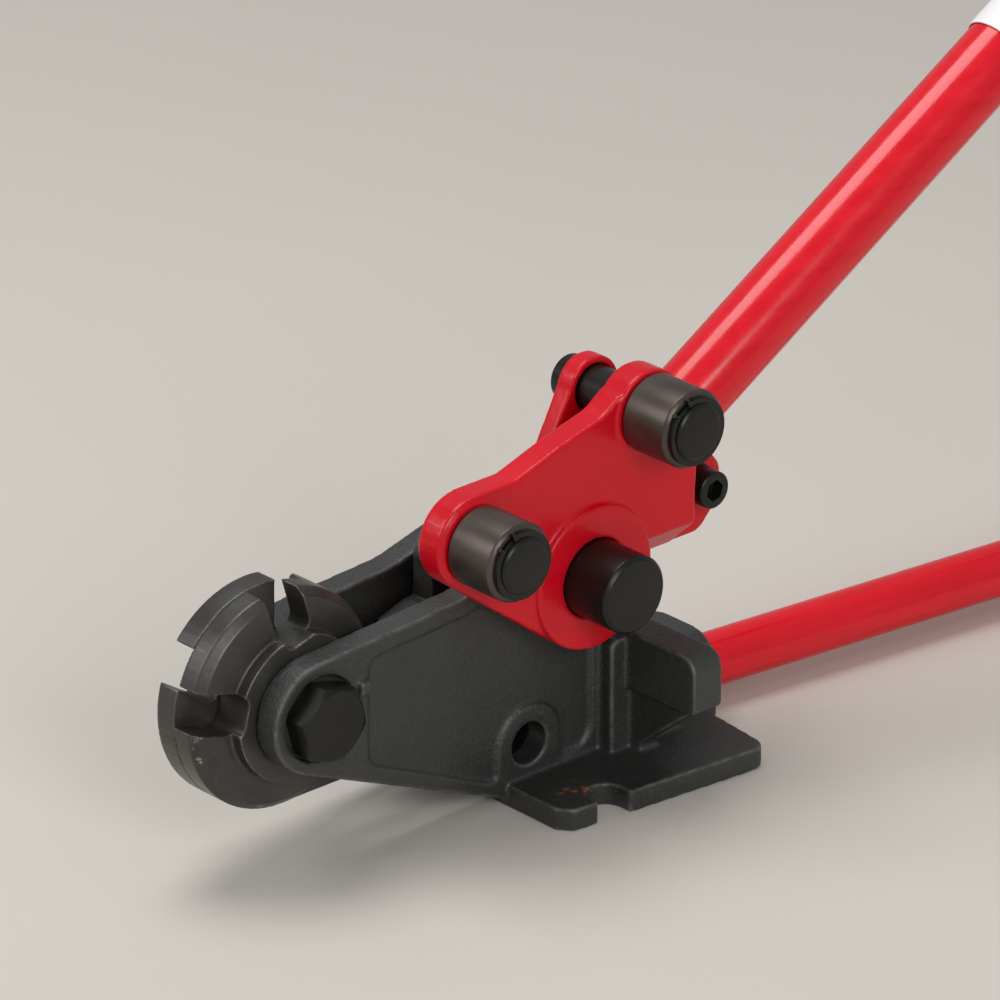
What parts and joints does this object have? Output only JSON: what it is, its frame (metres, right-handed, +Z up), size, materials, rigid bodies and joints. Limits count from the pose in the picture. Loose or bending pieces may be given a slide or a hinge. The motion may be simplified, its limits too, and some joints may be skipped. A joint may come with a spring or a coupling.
{
  "type": "rebar cutter and bender",
  "caption": "Hand-operated floor-standing bar cutter and bender: notched rotary discs in a cast base, lever head with bending rollers round a centre pin, two tube handles.",
  "frame": {"origin": "middle of the sole on the ground", "axes": "+X from the cutting discs towards the handles, -Y the bending side with the rollers, +Z up"},
  "size_m": [1.0263, 0.1638, 0.578],
  "materials": {
    "black_cast": "rough black paint",
    "red_cast": "gloss red over a cast surface",
    "red_tube": "gloss red",
    "blade_steel": "dark heat-treated",
    "black_oxide_steel": "black oxide",
    "roller_steel": "dark, worn by bar",
    "zinc_steel": "dull zinc",
    "grip_rubber": "matt",
    "white_label": "plain"
  },
  "bodies": {
    "base": {"base_casting": "black_cast", "pivot_bolt": "black_oxide_steel", "fixed_blade": "blade_steel", "fixed_blade_dowel_upper": "black_oxide_steel", "fixed_blade_dowel_lower": "black_oxide_steel", "centre_pin": "black_oxide_steel", "centre_pin_washer": "black_oxide_steel", "centre_pin_circlip": "black_oxide_steel", "lower_handle_tube": "red_tube", "lower_grip": "grip_rubber", "handle_set_bolt": "zinc_steel"},
    "moving_blade": {"moving_blade": "blade_steel"},
    "lever": {"lever_head": "red_cast", "lever_spacer": "black_oxide_steel", "drive_pin": "black_oxide_steel", "lower_roller_pin": "black_oxide_steel", "lower_roller_circlip": "black_oxide_steel", "upper_roller_pin": "black_oxide_steel", "upper_roller_circlip": "black_oxide_steel", "clamp_screw": "black_oxide_steel", "clamp_washer": "black_oxide_steel", "upper_handle_tube": "red_tube", "upper_grip": "grip_rubber", "blank_label": "white_label"},
    "lower_roller": {"lower_roller": "roller_steel"},
    "upper_roller": {"upper_roller": "roller_steel"}
  },
  "joints": [
    {"name": "lever_swing", "type": "hinge", "parent": "base", "child": "lever", "pos_m": [-0.0176, 0, 0.0793], "axis": [0, -1, 0], "range_deg": [-28, 74]},
    {"name": "blade_turn", "type": "hinge", "parent": "base", "child": "moving_blade", "pos_m": [-0.1245, 0, 0.058], "axis": [0, -1, 0], "range_deg": [-17.2, 6.6]},
    {"name": "lower_roller_spin", "type": "hinge", "parent": "lever", "child": "lower_roller", "pos_m": [-0.0683, -0.0445, 0.1064], "axis": [0, -1, 0], "continuous": true},
    {"name": "upper_roller_spin", "type": "hinge", "parent": "lever", "child": "upper_roller", "pos_m": [0.0076, -0.0445, 0.1308], "axis": [0, -1, 0], "continuous": true}
  ],
  "couplings": [
    {"joint": "blade_turn", "follows": "lever_swing", "ratio": -0.23}
  ]
}
